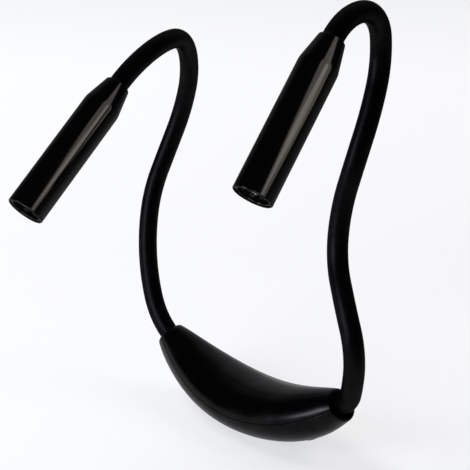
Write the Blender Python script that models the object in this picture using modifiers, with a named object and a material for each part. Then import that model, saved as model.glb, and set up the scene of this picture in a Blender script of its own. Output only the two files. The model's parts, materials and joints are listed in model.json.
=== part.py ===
# Neck reading light: a crescent pod worn behind the neck, and two bendable goosenecks that each end in a
# slim tubular lamp. It stands on a small flat on the belly of the pod, with the goosenecks in the air.
# Units are metres, +Z is up, and the origin is the middle of that flat. Left is -X and right is +X.
import math

import bmesh
import bpy
from mathutils import Vector

# Pod: the bent centreline and the sections along it. The pod lies rolled a little towards its right end.
pod_radius = 0.086
pod_half_angle = math.radians(38)
pod_roll = math.radians(1)
pod_half_thickness = 0.0122
pod_half_width = 0.0175
pod_end_radius = 0.0062
pod_thickness_power = 4
pod_thickness_root = 0.5
pod_width_power = 2
pod_width_root = 1.15
pod_rim_radius = 0.001
pod_wall = 0.0016
pod_end_wall = 0.009
pod_rest_cut = 0.0014
pod_floor = 0.0018
parting_offset = 0.0007
parting_gap = 0.0003

# Goosenecks
neck_radius = 0.0045
neck_length = 0.210
core_radius = 0.002
bore_clearance = 0.0006
flex_inset = 0.006
ball_step = 0.0002
ball_reach = 0.0008
cup_clearance = 0.0004
cup_lip_share = 0.66
core_start_share = 1.12
core_end_share = 0.82
flex_count = 6

# Neck anchors in the pod and in the lamps
anchor_flange_radius = 0.006
anchor_flange_thickness = 0.0016
anchor_depth = 0.004
anchor_tail = 0.0019

# Lamps
lamp_radius = 0.0084
lamp_length = 0.070
lamp_tail_radius = 0.00565
lamp_taper_length = 0.0126
lamp_bend_drop = 0.0001
lamp_bend_length = 0.0004
lamp_tail_round = 0.0008
lamp_front_round = 0.0003
lamp_front_wall = 0.0009
lamp_body_wall = 0.002
lens_recess = 0.003
lens_edge_thickness = 0.0015
lens_crown = 0.0006
lens_rings = 4
bezel_wall = 0.0008
bezel_height = 0.0029
bezel_outer_round = 0.0002
bezel_inner_round = 0.0004
reflector_height = 0.005
reflector_throat_radius = 0.0026
reflector_lip = 0.0008
led_board_thickness = 0.001
led_radius = 0.002
led_height = 0.001

# Cell: its outer face lies this far outward of the pod's centreline
cell_drop = 0.0038
cell_length = 0.034
cell_width = 0.023
cell_thickness = 0.010
cell_corner = 0.0012
cell_rib_spacing = 0.022
rib_thickness = 0.0016

# Boards, with a switch on each and the charging socket on the right one
board_angle = math.radians(23)
board_length = 0.017
board_width = 0.015
board_thickness = 0.001
board_depth = 0.0012
board_post_spacing = 0.014
board_post_radius = 0.0015
switch_size = 0.006
switch_height = 0.0034
switch_key_radius = 0.0016
switch_key_height = 0.0005
socket_width = 0.0089
socket_height = 0.0032
socket_length = 0.0074
socket_wall = 0.0003
socket_inset = 0.0008
socket_round_share = 0.4
tongue_width = 0.0067
tongue_thickness = 0.0008
tongue_length = 0.0044
tongue_base = 0.0012
pipe_radius = 0.001
pipe_along = 0.006
pipe_across = 0.0046

# Push buttons: nearly flush caps with a shallow dish
button_radius = 0.0037
button_inset = 0.0002
button_edge_round = 0.0003
button_rim = 0.0008
button_dish = 0.0002
button_dish_slope = 0.0005
button_flange_radius = 0.0047
button_flange_thickness = 0.0009
button_flange_gap = 0.00045
button_plunger_radius = 0.0015
button_gap = 0.0008

# Case screws
screw_angle = math.radians(14.8)
screw_radius = 0.001
screw_tip_radius = 0.0005
screw_head_radius = 0.0019
screw_head_height = 0.0012
screw_dome_radius = 0.0013
screw_head_depth = 0.003
screw_length = 0.012
screw_boss_radius = 0.0023
screw_recess_radius = 0.0022
driver_slot_length = 0.0025
driver_slot_width = 0.0006
driver_slot_depth = 0.0006

# Fits, and how far a cutter runs past what it cuts
fit = 0.0003
overrun = 0.002

# Facets, and the distance within which points are welded
pod_spans = 18
pod_sides = 28
cavity_spans = 12
cavity_sides = 16
rim_steps = 3
half_step_share = 0.5
neck_step_angle = math.radians(18)
neck_stop_margin = 0.0025
neck_facets = 4
core_facets = 1
ball_sides = 12
lamp_sides = 24
small_sides = 20
round_segments = 2
slot_segments = 3
sharp_angle = math.radians(40)
weld_distance = 0.00001

# How each gooseneck is bent: arcs from the pod to the lamp, each turned in degrees towards the side and then
# forward or back. The shares are the arcs' lengths in proportion to each other.
neck_arc_shares = (1, 1, 2, 2, 2, 2, 2, 2, 2, 2, 2)
left_bends = (
    (4, 12), (16, 2), (13, 3), (7, 7), (8, 11), (9, -5),
    (13, -18), (12, -25), (35, -41), (10, -34), (12, -8),
)
right_bends = (
    (-29, -18), (-15, 12), (-42, 15), (-11, 13), (38, -11), (18, -1),
    (-16, 15), (-8, 0), (19, -38), (16, -75), (13, -46),
)

# Derived sizes
belly_height = pod_half_thickness - pod_rest_cut
pod_centre = Vector((0, 0, belly_height + pod_radius))
neck_share_length = neck_length / sum(neck_arc_shares)
ball_radius = neck_radius - ball_step
cup_radius = ball_radius + cup_clearance
cup_lip = neck_radius * cup_lip_share
core_start = neck_radius * core_start_share
core_end = neck_radius * core_end_share
neck_bore_radius = core_radius + bore_clearance
flex_spacing = (neck_length - 2 * flex_inset) / (flex_count - 1)
lamp_seat = lamp_taper_length
lamp_bore_radius = lamp_radius - lamp_body_wall
lamp_front_bore = lamp_radius - lamp_front_wall
optic_radius = lamp_front_bore - fit
lens_top = lamp_length - lens_recess
lens_bottom = lens_top - lens_crown - lens_edge_thickness
reflector_top = lens_bottom - fit
reflector_bottom = reflector_top - reflector_height
led_board_top = reflector_bottom - fit
led_board_seat = led_board_top - led_board_thickness - fit

parts = bpy.data.collections.new("neck_reading_light")
cutters = bpy.data.collections.new("cutters")


def clear_scene():
    for thing in list(bpy.data.objects):
        bpy.data.objects.remove(thing, do_unlink=True)
    bpy.context.scene.collection.children.link(parts)
    bpy.context.scene.collection.children.link(cutters)


# Materials: one for each sub-part, from its kind's colour, roughness and metallic value
finishes = {
    "gloss_black": ((0.012, 0.012, 0.014), 0.22, 0.0),
    "satin_black": ((0.016, 0.016, 0.018), 0.38, 0.0),
    "silicone_black": ((0.02, 0.02, 0.023), 0.62, 0.0),
    "spring_steel": ((0.55, 0.55, 0.56), 0.3, 1.0),
    "plated_steel": ((0.62, 0.62, 0.63), 0.28, 1.0),
    "board_green": ((0.03, 0.16, 0.07), 0.5, 0.0),
    "board_white": ((0.75, 0.75, 0.73), 0.5, 0.0),
    "cell_foil": ((0.6, 0.62, 0.65), 0.35, 0.8),
    "clear_plastic": ((0.75, 0.78, 0.8), 0.08, 0.0),
    "mirror_coat": ((0.8, 0.8, 0.8), 0.12, 1.0),
    "led_yellow": ((0.85, 0.7, 0.25), 0.4, 0.0),
    "switch_black": ((0.03, 0.03, 0.03), 0.5, 0.0),
    "nylon_black": ((0.025, 0.025, 0.025), 0.55, 0.0),
}


def paint(thing, finish):
    colour, roughness, metallic = finishes[finish]
    material = bpy.data.materials.new(thing.name)
    material.use_nodes = True
    shader = material.node_tree.nodes["Principled BSDF"]
    shader.inputs["Base Color"].default_value = (*colour, 1)
    shader.inputs["Roughness"].default_value = roughness
    shader.inputs["Metallic"].default_value = metallic
    thing.data.materials.clear()
    thing.data.materials.append(material)


# Objects: a cutter has no finish, a sub-part has one
def add_object(name, mesh, parent=None, finish=None):
    thing = bpy.data.objects.new(name, mesh)
    if finish:
        parts.objects.link(thing)
        paint(thing, finish)
    else:
        cutters.objects.link(thing)
        thing.hide_render = True
        thing.display_type = "WIRE"
    thing.parent = parent
    return thing


def add_empty(name, location, rotation=None, parent=None):
    empty = bpy.data.objects.new(name, None)
    parts.objects.link(empty)
    empty.empty_display_size = neck_radius
    empty.parent = parent
    empty.location = location
    if rotation is not None:
        empty.rotation_mode = "QUATERNION"
        empty.rotation_quaternion = rotation
    return empty


def mesh_from(bm, name):
    mesh = bpy.data.meshes.new(name)
    bm.to_mesh(mesh)
    bm.free()
    return mesh


def shade_round(thing):
    thing.data.shade_smooth()
    thing.data.set_sharp_from_angle(angle=sharp_angle)


def block(name, size, centre, parent=None, finish=None):
    bm = bmesh.new()
    bmesh.ops.create_cube(bm, size=1)
    bmesh.ops.scale(bm, vec=size, verts=bm.verts)
    thing = add_object(name, mesh_from(bm, name), parent, finish)
    thing.location = centre
    return thing


def drum(name, radius, bottom, top, along=0, across=0, parent=None, finish=None, sides=small_sides):
    bm = bmesh.new()
    bmesh.ops.create_cone(bm, cap_ends=True, segments=sides, radius1=radius, radius2=radius,
                          depth=top - bottom)
    thing = add_object(name, mesh_from(bm, name), parent, finish)
    thing.location = (along, across, (bottom + top) / 2)
    shade_round(thing)
    return thing


def ball(name, radius, location, axis):
    bm = bmesh.new()
    bmesh.ops.create_uvsphere(bm, u_segments=ball_sides, v_segments=ball_sides // 2, radius=radius)
    thing = add_object(name, mesh_from(bm, name))
    thing.location = location
    thing.rotation_mode = "QUATERNION"
    thing.rotation_quaternion = axis.to_track_quat("Z", "Y")
    return thing


# A turned piece: a profile of (radius, height) that runs down its outer side
def turned(name, profile, closed, parent=None, finish=None, sides=small_sides):
    bm = bmesh.new()
    corners = [bm.verts.new((radius, 0, height)) for radius, height in profile]
    for first, second in zip(corners, corners[1:]):
        bm.edges.new((first, second))
    if closed:
        bm.edges.new((corners[-1], corners[0]))
    thing = add_object(name, mesh_from(bm, name), parent, finish)
    screw = thing.modifiers.new("turned", "SCREW")
    screw.axis = "Z"
    screw.steps = sides
    screw.render_steps = sides
    screw.use_merge_vertices = True
    screw.merge_threshold = weld_distance
    screw.use_smooth_shade = True
    return thing


def rounded(thing, width, segments=round_segments):
    bevel = thing.modifiers.new("rounded", "BEVEL")
    bevel.width = width
    bevel.segments = segments
    bevel.limit_method = "ANGLE"
    return thing


def combine(thing, other, operation):
    boolean = thing.modifiers.new(other.name, "BOOLEAN")
    boolean.operation = operation
    boolean.object = other
    return thing


def cut(thing, *others):
    for other in others:
        combine(thing, other, "DIFFERENCE")
    return thing


def join(thing, *others):
    for other in others:
        combine(thing, other, "UNION")
    return thing


# Pod: half thickness and half width of the section at an angle along the centreline
def pod_section(angle):
    place = abs(angle) / pod_half_angle
    thickness_share = max(0, 1 - place ** pod_thickness_power) ** pod_thickness_root
    width_share = max(0, 1 - place ** pod_width_power) ** pod_width_root
    thickness = pod_end_radius + (pod_half_thickness - pod_end_radius) * thickness_share
    width = pod_end_radius + (pod_half_width - pod_end_radius) * width_share
    from_end = (pod_half_angle - abs(angle)) * pod_radius
    if from_end < pod_rim_radius:
        past = 1 - from_end / pod_rim_radius
        inset = pod_rim_radius * (1 - math.sqrt(max(0, 1 - past * past)))
        thickness -= inset
        width -= inset
    return thickness, width


def pod_point(angle, across, inward):
    reach = pod_radius - inward
    turn = angle + pod_roll
    return pod_centre + Vector((reach * math.sin(turn), across, -reach * math.cos(turn)))


# Stations along the pod, closer together round the rims of its ends
def pod_stations(spans):
    rim = pod_rim_radius / pod_radius
    shoulder = pod_half_angle - rim
    stations = [shoulder * (2 * step / spans - 1) for step in range(spans + 1)]
    for step in range(1, rim_steps + 1):
        past = rim * math.sin(step / rim_steps * math.pi / 2)
        stations.insert(0, -shoulder - past)
        stations.append(shoulder + past)
    return stations


# A solid lofted through elliptical sections that grow and shrink along the pod. The section is whole, or it
# is the part on one side of the parting surface.
def pod_loft(name, stations, inset, sides, half=None, finish=None):
    bm = bmesh.new()
    rings = []
    for angle in stations:
        thickness, width = pod_section(angle)
        thickness -= inset
        width -= inset
        if half is None:
            turns = [(step + half_step_share) / sides * math.tau for step in range(sides)]
        else:
            level = parting_offset + parting_gap / 2 * half
            rise = math.asin(level / thickness)
            start, end = (rise, math.pi - rise) if half > 0 else (math.pi - rise, math.tau + rise)
            turns = [start + (end - start) * step / (sides // 2) for step in range(sides // 2 + 1)]
        rings.append([bm.verts.new(pod_point(angle, width * math.cos(turn), thickness * math.sin(turn)))
                      for turn in turns])
    count = len(rings[0])
    for ring, following in zip(rings, rings[1:]):
        for index in range(count):
            after = (index + 1) % count
            bm.faces.new((ring[index], following[index], following[after], ring[after]))
    bm.faces.new(rings[0])
    bm.faces.new(reversed(rings[-1]))
    bmesh.ops.recalc_face_normals(bm, faces=bm.faces)
    bmesh.ops.triangulate(bm, faces=bm.faces)
    thing = add_object(name, mesh_from(bm, name), None, finish)
    shade_round(thing)
    return thing


# An empty on the centreline of the pod, with local +Z towards the neck
def pod_station(name, angle):
    upright = Vector((0, 0, 1))
    turn = upright.rotation_difference(pod_point(angle, 0, pod_radius / 2) - pod_point(angle, 0, 0))
    return add_empty(name, pod_point(angle, 0, 0), turn)


# Goosenecks: the arcs of one side, each as its start, its directions, its bend and its length
def neck_arcs(side):
    end_turn = side * pod_half_angle + pod_roll
    start = pod_point(side * pod_half_angle, 0, 0)
    along = Vector((math.cos(end_turn), 0, math.sin(end_turn))) * side
    swing = Vector((0, 1, 0))
    bends = left_bends if side < 0 else right_bends
    arcs = []
    for (sideways, forward), share in zip(bends, neck_arc_shares):
        arc_length = neck_share_length * share
        nod = along.cross(swing)
        bend = math.radians(math.hypot(sideways, forward))
        axis = (swing * sideways + nod * forward).normalized()
        arcs.append((start, along.copy(), axis, bend, arc_length))
        radius = arc_length / bend
        across = axis.cross(along)
        start = start + along * radius * math.sin(bend) + across * radius * (1 - math.cos(bend))
        turned_along = along * math.cos(bend) + across * math.sin(bend)
        swing = swing * math.cos(bend) + axis.cross(swing) * math.sin(bend) \
            + axis * axis.dot(swing) * (1 - math.cos(bend))
        along = turned_along
    return arcs, start, along


# Place and direction of the gooseneck's centreline, straight on where it runs into the pod or the lamp
def neck_at(side, distance):
    arcs, end, end_along = neck_arcs(side)
    if distance >= neck_length:
        return end + end_along * (distance - neck_length), end_along
    past = distance
    for start, along, axis, bend, arc_length in arcs:
        if past < arc_length:
            break
        past -= arc_length
    if past <= 0:
        return start + along * past, along
    turn = bend * past / arc_length
    radius = arc_length / bend
    across = axis.cross(along)
    point = start + along * radius * math.sin(turn) + across * radius * (1 - math.cos(turn))
    return point, along * math.cos(turn) + across * math.sin(turn)


# Distances at which a tube along the gooseneck has its rings: closer where it bends more
def neck_stops(side, start, end):
    stops = []
    arc_start = 0
    for _, _, _, bend, arc_length in neck_arcs(side)[0]:
        pieces = max(2, math.ceil(bend / neck_step_angle))
        stops += [arc_start + arc_length * piece / pieces for piece in range(pieces)]
        arc_start += arc_length
    inner = [stop for stop in stops if start + neck_stop_margin < stop < end - neck_stop_margin]
    return [start] + inner + [end]


# A tube along the gooseneck, as a mesh whose origin is at a given point
def neck_tube(name, side, start, end, radius, facets, origin, parent=None, finish=None):
    curve = bpy.data.curves.new(name, "CURVE")
    curve.dimensions = "3D"
    curve.bevel_depth = radius
    curve.bevel_resolution = facets
    curve.use_fill_caps = True
    stops = neck_stops(side, start, end)
    spline = curve.splines.new("POLY")
    spline.points.add(len(stops) - 1)
    for point, stop in zip(spline.points, stops):
        point.co = (*(neck_at(side, stop)[0] - origin), 1)
    guide = bpy.data.objects.new(name + "_guide", curve)
    cutters.objects.link(guide)
    bpy.context.view_layer.update()
    evaluated = guide.evaluated_get(bpy.context.evaluated_depsgraph_get())
    mesh = bpy.data.meshes.new_from_object(evaluated)
    placed = guide.matrix_world.copy()
    bpy.data.objects.remove(guide, do_unlink=True)
    bm = bmesh.new()
    bm.from_mesh(mesh)
    bmesh.ops.remove_doubles(bm, verts=bm.verts, dist=weld_distance)
    bm.to_mesh(mesh)
    bm.free()
    thing = add_object(name, mesh, None, finish)
    thing.matrix_world = placed
    thing.parent = parent
    if parent is None:
        thing.location = origin
    shade_round(thing)
    return thing


def side_name(side):
    return "left" if side < 0 else "right"


def flex_distance(index):
    return flex_inset + flex_spacing * index


# Inside the shells: what the cavity leaves standing, for each half
def shell_supports(half):
    depth = pod_half_thickness * 2
    supports = []
    if half < 0:
        supports.append(block("rest_floor", (pod_radius, depth * 2, pod_floor * 2), (0, 0, 0)))
    middle = pod_station("rib_station", 0)
    for step in (-1, 1):
        rib = "lower_rib" if half < 0 else "upper_rib"
        edge = -cell_drop - fit if half < 0 else cell_thickness - cell_drop + fit
        centre = (cell_rib_spacing / 2 * step, 0, edge + depth / 2 * half)
        supports.append(block(rib, (rib_thickness, depth * 2, depth), centre, middle))
    for side in (-1, 1):
        station = pod_station(side_name(side) + "_screw_station", side * screw_angle)
        supports.append(drum("screw_boss", screw_boss_radius, -depth, depth, parent=station))
        if half < 0:
            station = pod_station(side_name(side) + "_post_station", side * board_angle)
            top = -board_depth - board_thickness - fit
            for step in (-1, 1):
                supports.append(drum("board_post", board_post_radius, top - depth, top,
                                     along=board_post_spacing / 2 * step, parent=station, sides=ball_sides))
    return supports


# The bore and the flange slot that hold a gooseneck in the end of the pod
def anchor_cutters(side):
    start, along = neck_at(side, 0)
    frame = add_empty(side_name(side) + "_anchor_station", start, along.to_track_quat("Z", "Y"))
    bore = drum("anchor_bore", neck_radius + fit, -pod_end_wall - overrun, overrun, parent=frame)
    slot_bottom = -anchor_depth - anchor_flange_thickness - fit
    slot = drum("anchor_slot", anchor_flange_radius + fit, slot_bottom, -anchor_depth + fit, parent=frame)
    return bore, slot


# One stepped hole takes the screw: a recess for its head, then a clear hole for its shank
def screw_cutter(side):
    station = pod_station(side_name(side) + "_screw_hole_station", side * screw_angle)
    surface = pod_section(screw_angle)[0]
    head_seat = -surface + screw_head_depth
    tip = head_seat + screw_length + fit
    profile = [
        (0, tip),
        (screw_radius + fit, tip),
        (screw_radius + fit, head_seat),
        (screw_recess_radius, head_seat),
        (screw_recess_radius, -surface - overrun),
        (0, -surface - overrun),
    ]
    return turned("screw_hole", profile, False, station, sides=ball_sides)


def button_cutter(side):
    station = pod_station(side_name(side) + "_button_hole_station", side * board_angle)
    surface = pod_section(board_angle)[0]
    return drum("button_hole", button_radius + fit, -surface - overrun, -surface + pod_wall + overrun,
                parent=station)


def pipe_cutter():
    station = pod_station("pipe_hole_station", board_angle)
    surface = pod_section(board_angle)[0]
    return drum("pipe_hole", pipe_radius + fit, -surface - overrun, -surface / 2, along=pipe_along,
                across=pipe_across, parent=station, sides=ball_sides)


def socket_cutter():
    station = pod_station("socket_hole_station", board_angle)
    width = pod_section(board_angle)[1]
    size = (socket_width + 2 * fit, width, socket_height + 2 * fit)
    hole = block("socket_hole", size, (0, width, socket_level()), station)
    return rounded(hole, socket_height / 2, slot_segments)


def socket_level():
    return -board_depth + fit + socket_height / 2


def build_shell(name, half):
    shell = pod_loft(name, pod_stations(pod_spans), 0, pod_sides, half, "satin_black")
    reach = pod_half_angle - pod_end_wall / pod_radius
    stations = [reach * (2 * step / cavity_spans - 1) for step in range(cavity_spans + 1)]
    cavity = pod_loft(name + "_cavity", stations, pod_wall, cavity_sides)
    cut(cavity, *shell_supports(half))
    cut(shell, cavity)
    for side in (-1, 1):
        cut(shell, *anchor_cutters(side))
        cut(shell, screw_cutter(side))
        if half < 0:
            cut(shell, button_cutter(side))
    cut(shell, socket_cutter())
    if half < 0:
        cut(shell, pipe_cutter())
        below = block("rest_plane", (pod_radius, pod_radius, pod_rest_cut * 2), (0, 0, -pod_rest_cut))
        cut(shell, below)
    return shell


def build_cell():
    station = pod_station("cell_station", 0)
    centre = (0, 0, cell_thickness / 2 - cell_drop)
    cell = block("battery_cell", (cell_length, cell_width, cell_thickness), centre, station, "cell_foil")
    rounded(cell, cell_corner)


def build_board(side):
    name = side_name(side)
    station = pod_station(name + "_board_station", side * board_angle)
    middle = -board_depth - board_thickness / 2
    block(name + "_board", (board_length, board_width, board_thickness), (0, 0, middle), station,
          "board_green")
    top = -board_depth - board_thickness - fit
    switch = block(name + "_switch", (switch_size, switch_size, switch_height),
                   (0, 0, top - switch_height / 2), station, "switch_black")
    key_top = top - switch_height - switch_key_height
    key = drum(name + "_switch_key", switch_key_radius, key_top, top - switch_height / 2, parent=station,
               sides=ball_sides)
    join(switch, key)
    return station, key_top


# A push button: dished cap, flange behind the wall, and a plunger over the switch
def build_button(side, key_top):
    surface, half_width = pod_section(board_angle)
    station = pod_station(side_name(side) + "_button_axis", side * board_angle)
    plunger_end = key_top - button_gap
    inside = surface - pod_wall
    inside_share = math.sqrt(1 - (button_flange_radius / (half_width - pod_wall)) ** 2)
    flange_top = -inside * inside_share + button_flange_gap
    flange_bottom = flange_top + button_flange_thickness
    cap = -surface + button_inset
    dish_start = button_radius - button_rim
    profile = [
        (0, plunger_end),
        (button_plunger_radius, plunger_end),
        (button_plunger_radius, flange_bottom),
        (button_flange_radius, flange_bottom),
        (button_flange_radius, flange_top),
        (button_radius, flange_top),
        (button_radius, cap + button_edge_round),
        (button_radius - button_edge_round, cap),
        (dish_start, cap),
        (dish_start - button_dish_slope, cap + button_dish),
        (0, cap + button_dish),
    ]
    turned(side_name(side) + "_button", profile, False, station, "gloss_black")


def build_socket(station):
    mouth = pod_section(board_angle)[1] - socket_inset
    back = mouth - socket_length
    level = socket_level()
    inside_width = socket_width - 2 * socket_wall
    inside_height = socket_height - 2 * socket_wall
    case = block("charge_socket", (socket_width, socket_length, socket_height),
                 (0, mouth - socket_length / 2, level), station, "plated_steel")
    rounded(case, socket_height * socket_round_share)
    inside = block("socket_inside", (inside_width, socket_length + 2 * overrun, inside_height),
                   (0, mouth - socket_length / 2, level), station)
    rounded(inside, inside_height * socket_round_share)
    cut(case, inside)
    base_height = inside_height - 2 * fit
    base = block("socket_tongue", (inside_width - 2 * fit, tongue_base, base_height),
                 (0, back + tongue_base / 2, level), station, "nylon_black")
    rounded(base, base_height * socket_round_share)
    blade_length = tongue_length + tongue_base / 2
    tongue = block("tongue_blade", (tongue_width, blade_length, tongue_thickness),
                   (0, back + tongue_base / 2 + blade_length / 2, level), station)
    join(base, tongue)


def build_light_pipe(station):
    surface, width = pod_section(board_angle + pipe_along / pod_radius)
    outside = -surface * math.sqrt(1 - (pipe_across / width) ** 2) + pipe_along ** 2 / pod_radius / 2
    bottom = -board_depth - board_thickness - fit
    drum("light_pipe", pipe_radius, outside, bottom, pipe_along, pipe_across, station, "clear_plastic",
         ball_sides)


def build_screw(side):
    station = pod_station(side_name(side) + "_screw_axis", side * screw_angle)
    seat = -pod_section(screw_angle)[0] + screw_head_depth - fit
    tip = seat + screw_length - fit
    head = seat - screw_head_height
    profile = [
        (0, tip),
        (screw_tip_radius, tip),
        (screw_radius, tip - screw_radius),
        (screw_radius, seat),
        (screw_head_radius, seat),
        (screw_head_radius, head + screw_head_height / 2),
        (screw_dome_radius, head),
        (0, head),
    ]
    screw = turned(side_name(side) + "_case_screw", profile, False, station, "plated_steel", ball_sides)
    for turn in (0, 1):
        size = [driver_slot_width, driver_slot_width, driver_slot_depth * 2]
        size[turn] = driver_slot_length
        cut(screw, block("driver_slot", size, (0, 0, head), station))


# The end of a gooseneck in the pod: a flanged stub with the first ball on it
def build_neck_root(side):
    name = side_name(side) + "_neck_root"
    start, along = neck_at(side, 0)
    first, direction = neck_at(side, flex_distance(0))
    tail = -anchor_depth - anchor_flange_thickness - anchor_tail
    stub = neck_tube(name, side, tail, flex_distance(0) - ball_reach, neck_radius, neck_facets, start, None,
                     "silicone_black")
    frame = add_empty(name + "_axis", start, along.to_track_quat("Z", "Y"))
    flange = drum(name + "_flange", anchor_flange_radius, -anchor_depth - anchor_flange_thickness,
                  -anchor_depth, parent=frame)
    join(stub, flange, ball(name + "_ball", ball_radius, first, direction))


# One length of the gooseneck: sleeve with a cup at its start and a ball at its end, and the core in it
def build_neck_link(side, index):
    name = side_name(side)
    start = flex_distance(index)
    end = flex_distance(index + 1)
    joint, joint_along = neck_at(side, start)
    after, after_along = neck_at(side, end)
    empty = add_empty("%s_flex_%d" % (name, index + 1), joint)
    sleeve = neck_tube("%s_sleeve_%d" % (name, index + 1), side, start + cup_lip, end - ball_reach,
                       neck_radius, neck_facets, joint, empty, "silicone_black")
    join(sleeve, ball("sleeve_ball", ball_radius, after, after_along))
    cut(sleeve, neck_tube("sleeve_bore", side, start, end + neck_radius + overrun, neck_bore_radius,
                          core_facets, joint))
    cut(sleeve, ball("sleeve_cup", cup_radius, joint, joint_along))
    neck_tube("%s_core_%d" % (name, index + 1), side, start + core_start, end + core_end, core_radius,
              core_facets, joint, empty, "spring_steel")


# The end of a gooseneck in its lamp: a flanged stub with the last cup in it
def build_neck_tip(side, empty):
    name = side_name(side) + "_neck_tip"
    last = flex_distance(flex_count - 1)
    joint, along = neck_at(side, last)
    end, end_along = neck_at(side, neck_length)
    flange_bottom = lamp_seat + fit
    flange_top = flange_bottom + anchor_flange_thickness
    stub = neck_tube(name, side, last + cup_lip, neck_length + flange_top, neck_radius, neck_facets, joint,
                     empty, "silicone_black")
    frame = add_empty(name + "_axis", end, end_along.to_track_quat("Z", "Y"))
    flange = drum(name + "_flange", lamp_bore_radius - 2 * fit, flange_bottom, flange_top + fit,
                  parent=frame)
    join(stub, flange)
    cut(stub, ball(name + "_cup", cup_radius, joint, along))


# The lamp's tube: a profile that tapers to the tail, stepped inside for the optics and the neck tip
def build_lamp_tube(name, axis):
    tail_corner = lamp_tail_round * (1 - math.cos(math.pi / 4))
    profile = [
        (lamp_radius - lamp_front_round, lamp_length),
        (lamp_radius, lamp_length - lamp_front_round),
        (lamp_radius, lamp_taper_length + 2 * lamp_bend_length),
        (lamp_radius - lamp_bend_drop, lamp_taper_length),
        (lamp_tail_radius + lamp_bend_drop, lamp_tail_round + lamp_bend_length),
        (lamp_tail_radius, lamp_tail_round),
        (lamp_tail_radius - tail_corner, tail_corner),
        (lamp_tail_radius - lamp_tail_round, 0),
        (neck_radius + fit, 0),
        (neck_radius + fit, lamp_seat),
        (lamp_bore_radius, lamp_seat),
        (lamp_bore_radius, led_board_seat),
        (lamp_front_bore, led_board_seat),
        (lamp_front_bore, lamp_length),
    ]
    turned(name + "_lamp_tube", profile, True, axis, "gloss_black", lamp_sides)


def build_optics(name, axis):
    lens_shoulder = lens_top - lens_crown
    bezel_bottom = lens_shoulder + fit
    bezel_top = bezel_bottom + bezel_height
    bezel_inside = optic_radius - bezel_wall
    turned(name + "_bezel_ring", [
        (optic_radius - bezel_outer_round, bezel_top),
        (optic_radius, bezel_top - bezel_outer_round),
        (optic_radius, bezel_bottom),
        (bezel_inside, bezel_bottom),
        (bezel_inside, bezel_top - bezel_inner_round),
        (bezel_inside + bezel_inner_round, bezel_top),
    ], True, axis, "gloss_black")
    dome = []
    for step in range(lens_rings):
        turn = step / lens_rings * math.pi / 2
        dome.append((optic_radius * math.sin(turn), lens_shoulder + lens_crown * math.cos(turn)))
    turned(name + "_lens", dome + [
        (optic_radius, lens_shoulder),
        (optic_radius, lens_bottom),
        (0, lens_bottom),
    ], False, axis, "clear_plastic")
    turned(name + "_reflector", [
        (optic_radius, reflector_top),
        (optic_radius, reflector_top - reflector_lip),
        (reflector_throat_radius + reflector_lip, reflector_bottom),
        (reflector_throat_radius, reflector_bottom),
        (optic_radius - reflector_lip, reflector_top),
    ], True, axis, "mirror_coat")
    drum(name + "_led_board", optic_radius, led_board_top - led_board_thickness, led_board_top,
         parent=axis, finish="board_white")
    led_foot = led_board_top + fit
    drum(name + "_led", led_radius, led_foot, led_foot + led_height, parent=axis, finish="led_yellow",
         sides=ball_sides)


def build_lamp(side):
    name = side_name(side)
    joint = neck_at(side, flex_distance(flex_count - 1))[0]
    tail, along = neck_at(side, neck_length)
    empty = add_empty("%s_flex_%d" % (name, flex_count), joint)
    axis = add_empty(name + "_lamp_axis", tail - joint, along.to_track_quat("Z", "Y"), empty)
    build_neck_tip(side, empty)
    build_lamp_tube(name, axis)
    build_optics(name, axis)


def build_all():
    clear_scene()
    build_shell("outer_shell", -1)
    build_shell("inner_shell", 1)
    build_cell()
    for side in (-1, 1):
        station, key_top = build_board(side)
        build_button(side, key_top)
        build_screw(side)
        if side > 0:
            build_socket(station)
            build_light_pipe(station)
        build_neck_root(side)
        for index in range(flex_count - 1):
            build_neck_link(side, index)
        build_lamp(side)


build_all()
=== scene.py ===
# Neck reading light: its visible surfaces, lights and camera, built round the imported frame.
# Metres, +Z up. Left is -X and right is +X.
import json
import math

import bmesh
import bpy
from mathutils import Matrix, Vector

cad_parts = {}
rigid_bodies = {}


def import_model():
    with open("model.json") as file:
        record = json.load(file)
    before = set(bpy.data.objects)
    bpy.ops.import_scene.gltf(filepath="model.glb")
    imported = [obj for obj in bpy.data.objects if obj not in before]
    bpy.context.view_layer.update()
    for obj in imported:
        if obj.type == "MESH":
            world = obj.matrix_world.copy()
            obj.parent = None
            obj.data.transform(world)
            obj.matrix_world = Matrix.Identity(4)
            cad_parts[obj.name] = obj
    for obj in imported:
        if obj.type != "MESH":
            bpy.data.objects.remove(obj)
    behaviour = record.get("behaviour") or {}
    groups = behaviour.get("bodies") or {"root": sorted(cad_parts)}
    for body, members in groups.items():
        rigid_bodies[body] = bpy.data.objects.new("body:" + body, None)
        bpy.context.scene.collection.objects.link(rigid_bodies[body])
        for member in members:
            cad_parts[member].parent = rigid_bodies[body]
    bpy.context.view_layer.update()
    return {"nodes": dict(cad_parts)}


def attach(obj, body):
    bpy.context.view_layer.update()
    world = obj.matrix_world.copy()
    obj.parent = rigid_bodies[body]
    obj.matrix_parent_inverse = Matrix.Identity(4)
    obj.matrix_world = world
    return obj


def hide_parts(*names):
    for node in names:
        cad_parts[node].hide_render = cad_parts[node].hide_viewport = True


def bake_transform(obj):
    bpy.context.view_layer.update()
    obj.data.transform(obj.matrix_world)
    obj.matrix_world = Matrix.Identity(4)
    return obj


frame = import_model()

mm = 0.001
degrees = math.pi / 180
sides = {"left": -1, "right": 1}
slipFit = 0.3 * mm      # air round a piece that moves or is set in
throughCut = 20 * mm    # how far a cutter reaches past the surface that it opens


# One sRGB hex colour as linear red, green, blue and alpha
def linear(hexColour):
    channels = [int(hexColour[place:place + 2], 16) / 255 for place in (1, 3, 5)]
    return (*(c / 12.92 if c <= 0.04045 else ((c + 0.055) / 1.055) ** 2.4 for c in channels), 1)


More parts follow.
